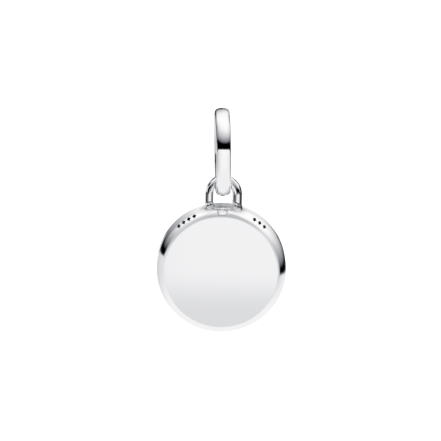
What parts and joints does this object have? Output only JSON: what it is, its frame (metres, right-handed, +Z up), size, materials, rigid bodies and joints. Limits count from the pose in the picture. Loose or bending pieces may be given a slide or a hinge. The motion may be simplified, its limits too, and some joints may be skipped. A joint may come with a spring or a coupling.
{
  "type": "disc pendant",
  "caption": "Thick polished silver disc with rounded edges and a soldered loop on its rim, hanging from a plain crowned ring bail.",
  "frame": {"origin": "inside top of the ring bail, where a chain or cord carries the pendant", "axes": "+Z up along the hanging pendant, +X to the right of the shown face, -Y the way the shown face looks"},
  "size_m": [0.013, 0.0088, 0.0229],
  "materials": {
    "polished_silver": "mirror-polished sterling silver with fine wipe marks"
  },
  "bodies": {
    "bail": {"bail": "polished_silver"},
    "medallion": {"medallion": "polished_silver"}
  },
  "joints": [
    {"name": "medallion_swing", "type": "hinge", "parent": "bail", "child": "medallion", "pos_m": [0, 0, -0.00636], "axis": [1, 0, 0], "range_deg": [-50, 50]}
  ]
}
